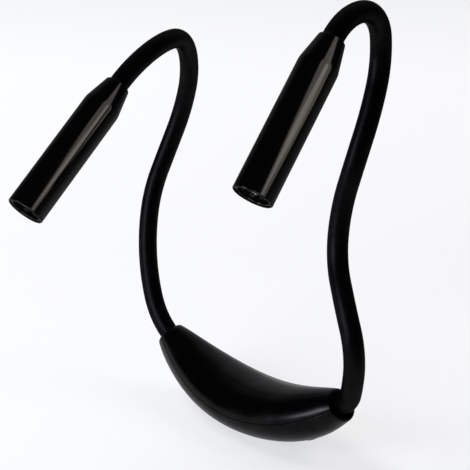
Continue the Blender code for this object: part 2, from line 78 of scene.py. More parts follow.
# Adds one node, sets its sockets or properties by name, and links its inputs
def addNode(tree, kind, settings=None, links=None):
    node = tree.nodes.new("ShaderNode" + kind)
    for name, value in (settings or {}).items():
        if isinstance(name, int) or name in node.inputs:
            node.inputs[name].default_value = value
        else:
            setattr(node, name, value)
    for name, output in (links or {}).items():
        tree.links.new(output, node.inputs[name])
    return node


def newMaterial(name, settings):
    material = bpy.data.materials.new(name)
    material.use_nodes = True
    tree = material.node_tree
    shader = tree.nodes["Principled BSDF"]
    for socket, value in settings.items():
        shader.inputs[socket].default_value = value
    return material, tree, shader


# Camera
camera = {
    "place": (302.24 * mm, -326.76 * mm, 268.5 * mm),
    "turn": (68.5 * degrees, 0, 43.5 * degrees),
    "lens": 84.26,
    "sensor": 36,
    "clipStart": 10 * mm,
}


def makeCamera():
    data = bpy.data.cameras.new("camera")
    data.lens = camera["lens"]
    data.sensor_width = camera["sensor"]
    data.clip_start = camera["clipStart"]
    holder = bpy.data.objects.new("camera", data)
    holder.location = camera["place"]
    holder.rotation_euler = camera["turn"]
    bpy.context.scene.collection.objects.link(holder)
    bpy.context.scene.camera = holder


# Outline corners are (x, y, fillet radius); the fillets become arcs
def roundedOutline(corners, closed=False, stepAngle=12 * degrees):
    outline = []
    count = len(corners)
    for index, (x, y, radius) in enumerate(corners):
        here = Vector((x, y))
        atEnd = not closed and index in (0, count - 1)
        if not radius or atEnd:
            outline.append((x, y))
            continue
        back = (Vector(corners[index - 1][:2]) - here).normalized()
        onward = (Vector(corners[(index + 1) % count][:2]) - here).normalized()
        half = back.angle(onward) / 2
        centre = here + (back + onward).normalized() * radius / math.sin(half)
        start = here + back * radius / math.tan(half) - centre
        end = here + onward * radius / math.tan(half) - centre
        first = math.atan2(start.y, start.x)
        sweep = (math.atan2(end.y, end.x) - first + math.pi) % math.tau - math.pi
        steps = max(2, math.ceil(abs(sweep) / stepAngle))
        for step in range(steps + 1):
            turn = first + sweep * step / steps
            outline.append((centre.x + radius * math.cos(turn), centre.y + radius * math.sin(turn)))
    return outline


# A turned body from a profile of (radius, height), with a count of facets round it
def turnedBody(profile, count, closed=False):
    body = bmesh.new()
    rings = []
    for radius, height in profile:
        if radius < 0.001 * mm:
            rings.append([body.verts.new((0, 0, height))])
        else:
            rings.append([body.verts.new((radius * math.cos(step / count * math.tau),
                                          radius * math.sin(step / count * math.tau), height))
                          for step in range(count)])
    following = rings[1:] + rings[:1] if closed else rings[1:]
    for ring, after in zip(rings, following):
        for step in range(count):
            onward = (step + 1) % count
            corners = [ring[step % len(ring)], ring[onward % len(ring)],
                       after[onward % len(after)], after[step % len(after)]]
            corners = list(dict.fromkeys(corners))
            if len(corners) > 2:
                body.faces.new(corners)
    return body


# Skins the rings of a body, each with the same number of corners, and closes both ends
def skinRings(body, rings):
    count = len(rings[0])
    for ring, after in zip(rings, rings[1:]):
        for index in range(count):
            onward = (index + 1) % count
            body.faces.new((ring[index], after[index], after[onward], ring[onward]))
    body.faces.new(rings[0])
    body.faces.new(reversed(rings[-1]))


# A prism of a closed outline in X and Z, from one Y to another
def prismBody(outline, back, front):
    body = bmesh.new()
    skinRings(body, [[body.verts.new((x, y, z)) for x, z in outline] for y in (back, front)])
    return body


# A rectangle in X and Z with rounded corners, its middle at one level
def rectangle(width, height, fillet, level):
    return roundedOutline([(x * width / 2, level + z * height / 2, fillet)
                           for x, z in ((1, 1), (-1, 1), (-1, -1), (1, -1))], True)


def newObject(name, body, place=None, sharpAngle=35 * degrees):
    bmesh.ops.recalc_face_normals(body, faces=body.faces)
    mesh = bpy.data.meshes.new(name)
    body.to_mesh(mesh)
    body.free()
    mesh.shade_smooth()
    mesh.set_sharp_from_angle(angle=sharpAngle)
    thing = bpy.data.objects.new(name, mesh)
    if place is not None:
        thing.matrix_world = place
    bpy.context.scene.collection.objects.link(thing)
    return thing


# Cuts the cutters out of a piece for good, and removes them
def cutAway(piece, cutters, sharpAngle=35 * degrees):
    for cutter in cutters:
        hole = piece.modifiers.new(cutter.name, "BOOLEAN")
        hole.operation = "DIFFERENCE"
        hole.object = cutter
    bpy.context.view_layer.update()
    evaluated = piece.evaluated_get(bpy.context.evaluated_depsgraph_get())
    mesh = bpy.data.meshes.new_from_object(evaluated)
    piece.modifiers.clear()
    piece.data = mesh
    mesh.shade_smooth()
    mesh.set_sharp_from_angle(angle=sharpAngle)
    for cutter in cutters:
        bpy.data.objects.remove(cutter)


# Gives a piece its finish, its body and the CAD nodes that it stands for
def dress(piece, material, slot, body, *nodes):
    piece.data.materials.clear()
    piece.data.materials.append(material)
    if nodes:
        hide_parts(*nodes)
    if body:
        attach(piece, body)


# Patches that are a little duller or shinier, where a noise passes from its low to its high values
def patchyRoughness(tree, shader, pattern, roughness, spread, low=0.3, high=0.7):
    rough = addNode(tree, "MapRange", {"From Min": low, "From Max": high, "To Min": roughness - spread,
                                       "To Max": roughness + spread}, {"Value": pattern.outputs["Fac"]})
    tree.links.new(rough.outputs["Result"], shader.inputs["Roughness"])


# The grain of a surface shades itself at glancing angles, so its gloss falls off there, from the angle
# "glossStart" to "glossEnd" (0 faces the eye, 1 is edge on). Handled patches differ a little.
def glancingGloss(tree, shader, pattern, finish):
    angle = addNode(tree, "LayerWeight", {"Blend": 0.5})
    gloss = addNode(tree, "MapRange", {
        "interpolation_type": "SMOOTHSTEP", "From Min": finish["glossStart"], "From Max": finish["glossEnd"],
        "To Min": finish["gloss"], "To Max": finish["gloss"] * finish["glossLeft"]},
        {"Value": angle.outputs["Facing"]})
    patch = addNode(tree, "MapRange", {"From Min": 0.35, "From Max": 0.65, "To Min": 1 - finish["patches"],
                                       "To Max": 1 + finish["patches"]},
                    {"Value": pattern.outputs["Fac"]})
    mixed = addNode(tree, "Math", {"operation": "MULTIPLY"},
                    {0: gloss.outputs["Result"], 1: patch.outputs["Result"]})
    tree.links.new(mixed.outputs["Value"], shader.inputs["Specular IOR Level"])


# Satin ABS, injection moulded in a spark-eroded tool: soft, slightly broken reflections
def mouldedSatinAbs():
    finish = {"colour": "#020203", "ior": 1.53, "roughness": 0.22, "spread": 0.05, "gloss": 0.08,
              "glossStart": 0.5, "glossEnd": 1.0, "glossLeft": 0.05, "patches": 0.3, "grain": 0.9 * mm,
              "depth": 0.004 * mm, "handling": 14 * mm}
    material, tree, shader = newMaterial("satin moulded ABS", {
        "Base Color": linear(finish["colour"]), "IOR": finish["ior"]})
    place = addNode(tree, "TexCoord")
    # The real grain is about 0.1 mm, drawn coarser so that it shows
    grain = addNode(tree, "TexNoise", {"Scale": 1 / finish["grain"], "Detail": 3.0},
                    {"Vector": place.outputs["Object"]})
    handling = addNode(tree, "TexNoise", {"Scale": 1 / finish["handling"], "Detail": 4.0, "Roughness": 0.6},
                       {"Vector": place.outputs["Object"]})
    glancingGloss(tree, shader, handling, finish)
    patchyRoughness(tree, shader, handling, finish["roughness"], finish["spread"])
    bump = addNode(tree, "Bump", {"Strength": 0.25, "Distance": finish["depth"]},
                   {"Height": grain.outputs["Fac"]})
    tree.links.new(bump.outputs["Normal"], shader.inputs["Normal"])
    return material


# Gloss ABS from a polished tool, with faint wipe marks along the tube
def polishedBlackAbs():
    finish = {"colour": "#010101", "ior": 1.53, "roughness": 0.11, "spread": 0.03, "gloss": 0.078,
              "glossStart": 0.25, "glossEnd": 0.8, "glossLeft": 0.08, "patches": 0.15, "marks": 1.6 * mm,
              "stretch": 0.04}
    material, tree, shader = newMaterial("polished black ABS", {
        "Base Color": linear(finish["colour"]), "IOR": finish["ior"]})
    place = addNode(tree, "TexCoord")
    along = addNode(tree, "Mapping", {"Scale": (1, 1, finish["stretch"])},
                    {"Vector": place.outputs["Object"]})
    marks = addNode(tree, "TexNoise", {"Scale": 1 / finish["marks"], "Detail": 3.0},
                    {"Vector": along.outputs["Vector"]})
    glancingGloss(tree, shader, marks, finish)
    patchyRoughness(tree, shader, marks, finish["roughness"], finish["spread"])
    return material


# Extruded silicone rubber: matt black with a dusty bluish sheen
def extrudedSilicone():
    finish = {"colour": "#030304", "ior": 1.41, "roughness": 0.4, "spread": 0.06, "gloss": 0.085,
              "glossStart": 0.1, "glossEnd": 0.7, "glossLeft": 0.06, "patches": 0.3, "dust": 5 * mm,
              "skin": 0.7 * mm, "depth": 0.006 * mm}
    material, tree, shader = newMaterial("extruded black silicone", {
        "Base Color": linear(finish["colour"]), "IOR": finish["ior"]})
    # The place on the sleeve before it is bent, so that the pattern bends with it
    place = addNode(tree, "Attribute", {"attribute_name": "straight"})
    dust = addNode(tree, "TexNoise", {"Scale": 1 / finish["dust"], "Detail": 5.0, "Roughness": 0.65},
                   {"Vector": place.outputs["Vector"]})
    # The real skin is finer than a pixel, drawn coarser so that it shows
    skin = addNode(tree, "TexNoise", {"Scale": 1 / finish["skin"], "Detail": 2.0},
                   {"Vector": place.outputs["Vector"]})
    glancingGloss(tree, shader, dust, finish)
    patchyRoughness(tree, shader, dust, finish["roughness"], finish["spread"])
    bump = addNode(tree, "Bump", {"Strength": 0.3, "Distance": finish["depth"]},
                   {"Height": skin.outputs["Fac"]})
    tree.links.new(bump.outputs["Normal"], shader.inputs["Normal"])
    return material


# A metal from its colour: plated or vacuum-coated, with a faint cloudiness in its polish
def coatedMetal(name, colour, roughness, cloud):
    material, tree, shader = newMaterial(name, {"Base Color": linear(colour), "Metallic": 1.0})
    place = addNode(tree, "TexCoord")
    clouds = addNode(tree, "TexNoise", {"Scale": 1 / cloud, "Detail": 3.0},
                     {"Vector": place.outputs["Object"]})
    patchyRoughness(tree, shader, clouds, roughness, 0.3 * roughness, 0, 1)
    return material


# A plain plastic, lacquer or ceramic with a slight cloud in its colour
def cloudedSolid(name, colour, other, roughness, cloud):
    material, tree, shader = newMaterial(name, {
        "IOR": 1.5, "Roughness": roughness, "Specular IOR Level": 0.4})
    place = addNode(tree, "TexCoord")
    clouds = addNode(tree, "TexNoise", {"Scale": 1 / cloud, "Detail": 4.0},
                     {"Vector": place.outputs["Object"]})
    # Sockets 6 and 7 are the two colours, and output 2 is the mixed one
    mixed = addNode(tree, "Mix", {"data_type": "RGBA", 6: linear(colour), 7: linear(other)},
                    {0: clouds.outputs["Fac"]})
    tree.links.new(mixed.outputs[2], shader.inputs["Base Color"])
    return material


# Clear PMMA, moulded and gate-polished: sharp gloss, faint flow lines in the roughness
def clearPmma(name, roughness):
    material, tree, shader = newMaterial(name, {
        "Base Color": linear("#f4f6f7"), "IOR": 1.49, "Transmission Weight": 1.0})
    place = addNode(tree, "TexCoord")
    flow = addNode(tree, "TexNoise", {"Scale": 1 / (4 * mm), "Detail": 2.0},
                   {"Vector": place.outputs["Object"]})
    patchyRoughness(tree, shader, flow, roughness, 0.5 * roughness, 0, 1)
    return material


print("materials")
podAbs = mouldedSatinAbs()
lampAbs = polishedBlackAbs()
silicone = extrudedSilicone()
springSteel = coatedMetal("spring steel core", "#a5a6a8", 0.3, 2 * mm)
nickelPlate = coatedMetal("nickel-plated steel", "#c8c7c3", 0.22, 1.5 * mm)
mirrorCoat = coatedMetal("vacuum-metallised reflector", "#dcdddf", 0.1, 3 * mm)
pouchFoil = coatedMetal("aluminium pouch foil", "#b4b8be", 0.35, 6 * mm)
lensPmma = clearPmma("clear PMMA lens", 0.03)
pipePmma = clearPmma("frosted PMMA light pipe", 0.35)
phosphor = cloudedSolid("yellow phosphor in silicone", "#d9b64a", "#cfa83c", 0.35, 0.6 * mm)
whiteMask = cloudedSolid("white solder mask", "#e6e6e1", "#dcdcd6", 0.4, 2 * mm)
greenMask = cloudedSolid("green solder mask", "#1d5a33", "#17502c", 0.35, 2 * mm)
glassNylon = cloudedSolid("glass-filled nylon", "#141414", "#1c1c1c", 0.5, 0.8 * mm)
switchPlastic = cloudedSolid("black PBT switch body", "#191919", "#202020", 0.45, 1 * mm)

# Pod: the same bent centreline as the CAD. Its ends differ a little, as they do in the photo. A taper over 1
# thins an end early, and one under 1 keeps it full for longer.
podEnds = {
    -1: {"reach": 38 * degrees, "radius": 6.2 * mm, "innerTaper": 0.6, "outerTaper": 0.5},
    1: {"reach": 38.7 * degrees, "radius": 7.1 * mm, "innerTaper": 0.77, "outerTaper": 1.4},
}
pod = {
    "radius": 86 * mm, "halfAngle": 38 * degrees, "roll": 1 * degrees, "innerThickness": 13 * mm,
    "outerThickness": 12.2 * mm, "halfWidth": 17.5 * mm, "rimRadius": 1 * mm,
    "innerPower": 3, "outerPower": 4, "widthPower": 2, "widthTaper": 1.15,
    "restCut": 1.4 * mm, "restSize": 100 * mm, "partingOffset": 0.7 * mm, "partingGap": 0.12 * mm,
    "partingRound": 0.22 * mm, "wall": 1.6 * mm, "endWall": 9 * mm, "boreDepth": 12 * mm,
    "sharpAngle": 28 * degrees, "spans": 130, "steps": 56, "rimSteps": 7, "roundSteps": 4,
    "hollowSpans": 24, "hollowSteps": 32,
}
podCentre = Vector((0, 0, pod["outerThickness"] - pod["restCut"] + pod["radius"]))


# Outer and inner thickness and half the width of the pod's section
def podSection(angle):
    end = podEnds[-1 if angle < 0 else 1]
    place = min(1, abs(angle) / end["reach"])
    radius = end["radius"]
    outer = radius + (pod["outerThickness"] - radius) * (1 - place ** pod["outerPower"]) ** end["outerTaper"]
    inner = radius + (pod["innerThickness"] - radius) * (1 - place ** pod["innerPower"]) ** end["innerTaper"]
    width = radius + (pod["halfWidth"] - radius) * (1 - place ** pod["widthPower"]) ** pod["widthTaper"]
    fromEnd = (end["reach"] - abs(angle)) * pod["radius"]
    if fromEnd >= pod["rimRadius"]:
        return outer, inner, width
    past = 1 - fromEnd / pod["rimRadius"]
    inset = pod["rimRadius"] * (1 - math.sqrt(max(0, 1 - past * past)))
    return outer - inset, inner - inset, width - inset


def podPoint(angle, across, inward):
    reach = pod["radius"] - inward
    turn = angle + pod["roll"]
    return podCentre + Vector((reach * math.sin(turn), across, -reach * math.cos(turn)))


# A frame on the centreline of the pod, with +Z towards the neck
def podStation(angle):
    return Matrix.Translation(podPoint(angle, 0, 0)) @ Matrix.Rotation(-angle - pod["roll"], 4, "Y")


# One half of the pod, solid: its edge on the parting line is a quarter round
def podHalf(half):
    rim = pod["rimRadius"] / pod["radius"]
    left, right = (podEnds[side]["reach"] - rim for side in (-1, 1))
    # Closer together towards the ends, where the section changes fast
    shares = [math.sin((2 * step / pod["spans"] - 1) * math.pi / 2) for step in range(pod["spans"] + 1)]
    angles = [share * (left if share < 0 else right) for share in shares]
    for step in range(1, pod["rimSteps"] + 1):
        past = rim * math.sin(step / pod["rimSteps"] * math.pi / 2)
        angles.insert(0, -left - past)
        angles.append(right + past)
    level = pod["partingOffset"] + pod["partingGap"] / 2 * half
    edge = pod["partingRound"]
    body = bmesh.new()
    rings = []
    for angle in angles:
        outer, inner, width = podSection(angle)
        rise = math.asin(level / inner)
        start, end = (rise, math.pi - rise) if half > 0 else (math.pi - rise, math.tau + rise)
        roundTurn = edge / inner
        turns = [start + roundTurn * (1 - math.cos(step / pod["roundSteps"] * math.pi / 2))
                 for step in range(pod["roundSteps"])]
        turns += [start + roundTurn + (end - start - 2 * roundTurn) * step / pod["steps"]
                  for step in range(pod["steps"] + 1)]
        turns += [end - roundTurn * (1 - math.cos(step / pod["roundSteps"] * math.pi / 2))
                  for step in reversed(range(pod["roundSteps"]))]
        ring = []
        for turn in turns:
            nearest = min(turn - start, end - turn) / roundTurn
            tuck = edge * (1 - math.sqrt(max(0, 1 - max(0, 1 - nearest) ** 2)))
            thickness = inner if math.sin(turn) > 0 else outer
            ring.append(body.verts.new(podPoint(angle, (width - tuck) * math.cos(turn),
                                                thickness * math.sin(turn))))
        rings.append(ring)
    skinRings(body, rings)
    return body


# The hollow inside both halves
def podHollow(name):
    reach = pod["halfAngle"] - pod["endWall"] / pod["radius"]
    spans, count = pod["hollowSpans"], pod["hollowSteps"]
    body = bmesh.new()
    rings = []
    for step in range(spans + 1):
        angle = reach * (2 * step / spans - 1)
        outer, inner, width = (size - pod["wall"] for size in podSection(angle))
        turns = [(step + 0.5) / count * math.tau for step in range(count)]
        rings.append([body.verts.new(podPoint(angle, width * math.cos(turn),
                                              (inner if math.sin(turn) > 0 else outer) * math.sin(turn)))
                      for turn in turns])
    skinRings(body, rings)
    bmesh.ops.triangulate(body, faces=body.faces)
    return newObject(name, body)


# Buttons, screws, light pipe and socket, on the stations that the CAD gives them
button = {"station": 23 * degrees, "radius": 3.7 * mm, "inset": 0.2 * mm, "edge": 0.3 * mm,
          "rim": 0.7 * mm, "dish": 0.25 * mm, "dishSlope": 0.8 * mm, "dishRound": 0.5 * mm,
          "flangeRadius": 4.7 * mm, "flangeThickness": 0.9 * mm, "flangeDepth": 3 * mm, "holeDepth": 4 * mm,
          "plungerRadius": 1.5 * mm, "plungerRound": 0.1 * mm, "plungerEnd": 7.2 * mm, "count": 72}
screw = {"station": 14.8 * degrees, "headDepth": 3 * mm, "recessRadius": 2.2 * mm, "radius": 1 * mm,
         "headRadius": 1.9 * mm, "headHeight": 1.2 * mm, "headRound": 0.55 * mm, "seatRound": 0.1 * mm,
         "length": 12 * mm, "tipRadius": 0.3 * mm, "tipLength": 1.4 * mm, "slotWidth": 0.55 * mm,
         "slotReach": 1.35, "slotDepth": 0.7 * mm, "count": 48}
board = {"depth": 1.2 * mm, "thickness": 1 * mm}
pipe = {"along": 6 * mm, "across": 4.6 * mm, "radius": 1 * mm, "fit": 0.15 * mm, "tipRound": 0.3 * mm,
        "count": 32}
socket = {"width": 8.9 * mm, "height": 3.2 * mm, "length": 7.4 * mm, "wall": 0.3 * mm, "inset": 0.8 * mm,
          "round": 0.49, "openPast": 1 * mm}


def podStart(angle):
    return -podSection(angle)[0]


def drumCutter(name, place, radius, bottom, top, count=64):
    profile = [(0, bottom), (radius, bottom), (radius, top), (0, top)]
    return newObject(name, turnedBody(profile, count), place)


def pipePlace():
    return podStation(button["station"]) @ Matrix.Translation((pipe["along"], pipe["across"], 0))


# The socket sits on the board
def socketLevel():
    return -board["depth"] + slipFit + socket["height"] / 2


# From the middle of the shell's half to well outside it
def socketHole(name):
    outline = rectangle(socket["width"] + 2 * slipFit, socket["height"] + 2 * slipFit, socket["height"] / 2,
                        socketLevel())
    width = podSection(button["station"])[2]
    return newObject(name, prismBody(outline, width / 2, width * 1.5), podStation(button["station"]))


def makePod():
    outer = newObject("outerShell", podHalf(-1))
    inner = newObject("innerShell", podHalf(1))
    outerCutters = [podHollow("hollow")]
    innerCutters = [podHollow("hollow"), socketHole("socketHole")]
    for side in sides.values():
        start, along, _ = neckAt(side, 0)
        bore = Matrix.Translation(start) @ along.to_track_quat("Z", "Y").to_matrix().to_4x4()
        for cutters in (outerCutters, innerCutters):
            cutters.append(drumCutter("bore", bore, neck["radius"] + slipFit, -pod["boreDepth"], throughCut))
        surface = podStart(side * button["station"])
        outerCutters.append(drumCutter("buttonHole", podStation(side * button["station"]),
                                       button["radius"] + slipFit, surface - throughCut,
                                       surface + button["holeDepth"]))
        surface = podStart(side * screw["station"])
        outerCutters.append(drumCutter("screwHole", podStation(side * screw["station"]),
                                       screw["recessRadius"], surface - throughCut,
                                       surface + screw["headDepth"]))
    outerCutters.append(socketHole("socketHole"))
    surface = podStart(button["station"])
    outerCutters.append(drumCutter("pipeHole", pipePlace(), pipe["radius"] + pipe["fit"],
                                   surface - throughCut, surface / 2, pipe["count"]))
    # Flat underneath, where it stands on the table
    ground = bmesh.new()
    bmesh.ops.create_cube(ground, size=1)
    outerCutters.append(newObject("restPlane", ground, Matrix.Translation((0, 0, -throughCut / 2))
                                  @ Matrix.Diagonal((pod["restSize"], pod["restSize"], throughCut, 1))))
    cutAway(outer, outerCutters, pod["sharpAngle"])
    cutAway(inner, innerCutters, pod["sharpAngle"])
    dress(outer, podAbs, "pod_shell", "pod", "outer_shell")
    dress(inner, podAbs, "pod_shell", "pod", "inner_shell")


# Goosenecks: arcs from the pod to the lamp, turned in degrees to the side and forward or back. The first two
# are half as long as the others. Lengths of sleeve overlap where they meet, one tucked under the other.
neck = {
    "radius": 4.5 * mm, "length": 210 * mm, "flexInset": 6 * mm, "flexCount": 6,
    "arcShares": (1, 1, 2, 2, 2, 2, 2, 2, 2, 2, 2),
    "leftBends": ((4, 12), (16, 2), (13, 3), (7, 7), (8, 11), (9, -5), (13, -18), (12, -25), (35, -41),
                  (10, -34), (12, -8)),
    "rightBends": ((-29, -18), (-15, 12), (-42, 15), (-11, 13), (38, -11), (18, -1), (-16, 15), (-8, 0),
                   (19, -38), (16, -75), (13, -46)),
    "count": 44, "ringStep": 0.9 * mm, "sharpAngle": 60 * degrees, "blendReach": 14 * mm,
    "inPod": 3 * mm, "inLamp": 8 * mm, "overlap": 0.8 * mm, "tuck": 0.03 * mm,
}


def neckArcs(side):
    endTurn = side * pod["halfAngle"] + pod["roll"]
    start = podPoint(side * pod["halfAngle"], 0, 0)
    along = Vector((math.cos(endTurn), 0, math.sin(endTurn))) * side
    swing = Vector((0, 1, 0))
    bends = neck["leftBends"] if side < 0 else neck["rightBends"]
    arcs = []
    for (sideways, forward), share in zip(bends, neck["arcShares"]):
        length = neck["length"] * share / sum(neck["arcShares"])
        bend = math.hypot(sideways, forward) * degrees
        axis = (swing * sideways + along.cross(swing) * forward).normalized()
        arcs.append((start, along, swing, axis, bend, length))
        radius = length / bend
        start = start + along * radius * math.sin(bend) + axis.cross(along) * radius * (1 - math.cos(bend))
        turn = Matrix.Rotation(bend, 3, axis)
        along, swing = turn @ along, turn @ swing
    arcs.append((start, along, swing, swing, 0, 0))
    return arcs


neckRoutes = {side: neckArcs(side) for side in sides.values()}


# Place, direction and sideways direction at a distance along a gooseneck
def neckAt(side, distance):
    past = distance
    for start, along, swing, axis, bend, length in neckRoutes[side]:
        if past < length or bend == 0:
            break
        past -= length
    if bend == 0 or past < 0:
        return start + along * past, along, swing
    angle = bend * past / length
    radius = length / bend
    point = start + along * radius * math.sin(angle) + axis.cross(along) * radius * (1 - math.cos(angle))
    turn = Matrix.Rotation(angle, 3, axis)
    return point, turn @ along, turn @ swing


# A length of sleeve, which keeps where each point lay before it was bent
def sleeveLength(name, side, start, end, tuckStart, tuckEnd):
    count = neck["count"]
    steps = math.ceil((end - start) / neck["ringStep"])
    stops = [(start + (end - start) * step / steps, 0) for step in range(steps + 1)]
    if tuckStart:
        stops = [(start - neck["overlap"] * share, neck["tuck"] * share) for share in (1, 0.5)] + stops
    if tuckEnd:
        stops += [(end + neck["overlap"] * share, neck["tuck"] * share) for share in (0.5, 1)]
    body = bmesh.new()
    straight = []
    rings = []
    for distance, tuck in stops:
        centre, along, swing = neckAt(side, distance)
        other = along.cross(swing)
        radius = neck["radius"] - tuck
        ring = []
        for step in range(count):
            turn = step / count * math.tau
            ring.append(body.verts.new(centre + (swing * math.cos(turn) + other * math.sin(turn)) * radius))
            straight.append((radius * math.cos(turn), radius * math.sin(turn), distance))
        rings.append(ring)
    skinRings(body, rings)
    piece = newObject(name, body, None, neck["sharpAngle"])
    attribute = piece.data.attributes.new("straight", "FLOAT_VECTOR", "POINT")
    attribute.data.foreach_set("vector", [number for point in straight for number in point])
    return piece


def makeNeck(name, side):
    spacing = (neck["length"] - 2 * neck["flexInset"]) / (neck["flexCount"] - 1)
    joints = [neck["flexInset"] + spacing * index for index in range(neck["flexCount"])]
    seams = [(a + b) / 2 for a, b in zip(joints, joints[1:])]
    seams = [-neck["inPod"], *seams, neck["length"] + neck["inLamp"]]
    bodies = ["%s_neck_%d" % (name, index) for index in range(1, neck["flexCount"])]
    bodies = ["pod", *bodies, name + "_lamp"]
    last = neck["flexCount"] - 1
    for index, joint in enumerate(joints):
        piece = sleeveLength("%sSleeve%d" % (name, index + 1), side, seams[index], seams[index + 1],
                             index > 0, index < last)
        nodes = ["%s_sleeve_%d" % (name, index)] if index else ["%s_neck_root" % name]
        if index == last:
            nodes = ["%s_sleeve_%d" % (name, index), "%s_neck_tip" % name]
        dress(piece, silicone, "neck_sleeve", None, *nodes)
        point, along, _ = neckAt(side, joint)
        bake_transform(piece)


# Lamps: tube, bezel, lens, reflector and LED, turned on the lamp's own axis
lamp = {
    "radius": 8.4 * mm, "length": 70 * mm, "tailRadius": 5.65 * mm, "taper": 12.6 * mm,
    "tailRound": 0.8 * mm, "shoulderRound": 9 * mm, "frontWall": 0.9 * mm, "frontRound": 0.55 * mm,
    "mouthRound": 0.2 * mm, "boreRound": 0.25 * mm, "wall": 2 * mm, "count": 120, "arcStep": 8 * degrees,
    "bezelWall": 0.8 * mm, "bezelHeight": 2.9 * mm, "bezelRound": 0.55 * mm, "bezelEdge": 0.2 * mm,
    "bezelFoot": 0.15 * mm, "bezelStep": 10 * degrees,
    "lensRecess": 3 * mm, "lensEdge": 1.5 * mm, "lensCrown": 0.6 * mm, "lensSteps": 12,
    "reflectorHeight": 5 * mm, "throat": 2.6 * mm, "lip": 0.5 * mm, "cupPower": 0.6, "cupSteps": 16,
    "cupSharp": 50 * degrees,
    "boardThickness": 1 * mm, "ledRadius": 2 * mm, "ledHeight": 1 * mm, "ledRound": 0.4 * mm, "ledCount": 48,
}


def lampPlace(side):
    start, along, swing = neckAt(side, neck["length"])
    turn = Matrix((swing, along.cross(swing), along)).transposed().to_4x4()
    return Matrix.Translation(start) @ turn


def makeLamp(name, side):
    place = lampPlace(side)
    body = name + "_lamp"
    count = lamp["count"]
    outer, tail, length = lamp["radius"], lamp["tailRadius"], lamp["length"]
    bore = neck["radius"] + slipFit
    opticRadius = outer - lamp["frontWall"] - slipFit
    lensTop = length - lamp["lensRecess"]
    lensShoulder = lensTop - lamp["lensCrown"]
    lensBottom = lensShoulder - lamp["lensEdge"]
    reflectorTop = lensBottom - slipFit
    reflectorBottom = reflectorTop - lamp["reflectorHeight"]
    boardTop = reflectorBottom - slipFit
    seat = boardTop - lamp["boardThickness"] - slipFit

    tube = roundedOutline([
        (outer - lamp["frontWall"], length, lamp["mouthRound"]),
        (outer, length, lamp["frontRound"]),
        (outer, lamp["taper"], lamp["shoulderRound"]),
        (tail, 0, lamp["tailRound"]),
        (bore, 0, lamp["boreRound"]),
        (bore, lamp["taper"], 0),
        (outer - lamp["wall"], lamp["taper"], 0),
        (outer - lamp["wall"], seat, 0),
        (outer - lamp["frontWall"], seat, 0),
    ], True, lamp["arcStep"])
    dress(newObject(name + "LampTube", turnedBody(tube, count, True), place), lampAbs, "lamp_tube", body,
          name + "_lamp_tube")

    bezelFoot = lensShoulder + slipFit
    bezelTop = bezelFoot + lamp["bezelHeight"]
    bezel = roundedOutline([
        (opticRadius, bezelTop, lamp["bezelEdge"]),
        (opticRadius, bezelFoot, 0),
        (opticRadius - lamp["bezelWall"], bezelFoot, lamp["bezelFoot"]),
        (opticRadius - lamp["bezelWall"], bezelTop, lamp["bezelRound"]),
    ], True, lamp["bezelStep"])
    dress(newObject(name + "BezelRing", turnedBody(bezel, count, True), place), lampAbs, "bezel", body,
          name + "_bezel_ring")

    lens = [(0, lensTop)]
    for step in range(1, lamp["lensSteps"] + 1):
        turn = step / lamp["lensSteps"] * math.pi / 2
        lens.append((opticRadius * math.sin(turn), lensShoulder + lamp["lensCrown"] * math.cos(turn)))
    lens += [(opticRadius, lensBottom), (0, lensBottom)]
    dress(newObject(name + "Lens", turnedBody(lens, count), place), lensPmma, "lens", body, name + "_lens")

    # The cup is close to a parabola, from the throat to the lens. Its back starts a little below the lip.
    cup = []
    for step in range(lamp["cupSteps"] + 1):
        share = step / lamp["cupSteps"]
        radius = lamp["throat"] + (opticRadius - lamp["lip"] - lamp["throat"]) * share ** lamp["cupPower"]
        cup.append((radius, reflectorBottom + lamp["reflectorHeight"] * share))
    reflector = cup + [(opticRadius, reflectorTop), (opticRadius, reflectorTop - lamp["lip"])]
    reflector += [(radius + lamp["lip"], height) for radius, height in reversed(cup[:-3])]
    dress(newObject(name + "Reflector", turnedBody(reflector, count, True), place, lamp["cupSharp"]),
          mirrorCoat, "reflector", body, name + "_reflector")

    ledFoot = boardTop + slipFit
    ledTop = ledFoot + lamp["ledHeight"]
    led = roundedOutline([(0, ledTop, 0), (lamp["ledRadius"], ledTop, lamp["ledRound"]),
                          (lamp["ledRadius"], ledFoot, 0), (0, ledFoot, 0)])
    dress(newObject(name + "Led", turnedBody(led, lamp["ledCount"]), place), phosphor, "led", body,
          name + "_led")


def makeButton(name, side):
    surface = podStart(side * button["station"])
    cap = surface + button["inset"]
    plungerEnd = -button["plungerEnd"]
    flangeTop = surface + button["flangeDepth"]
    flangeBottom = flangeTop + button["flangeThickness"]
    dishStart = button["radius"] - button["rim"]
    profile = roundedOutline([
        (0, plungerEnd, 0),
        (button["plungerRadius"], plungerEnd, button["plungerRound"]),
        (button["plungerRadius"], flangeBottom, 0),
        (button["flangeRadius"], flangeBottom, 0),
        (button["flangeRadius"], flangeTop, 0),
        (button["radius"], flangeTop, 0),
        (button["radius"], cap, button["edge"]),
        (dishStart, cap, button["edge"]),
        (dishStart - button["dishSlope"], cap + button["dish"], button["dishRound"]),
        (0, cap + button["dish"], 0),
    ])
    dress(newObject(name + "Button", turnedBody(profile, button["count"]),
                    podStation(side * button["station"])), podAbs, "button", name + "_button",
          name + "_button")


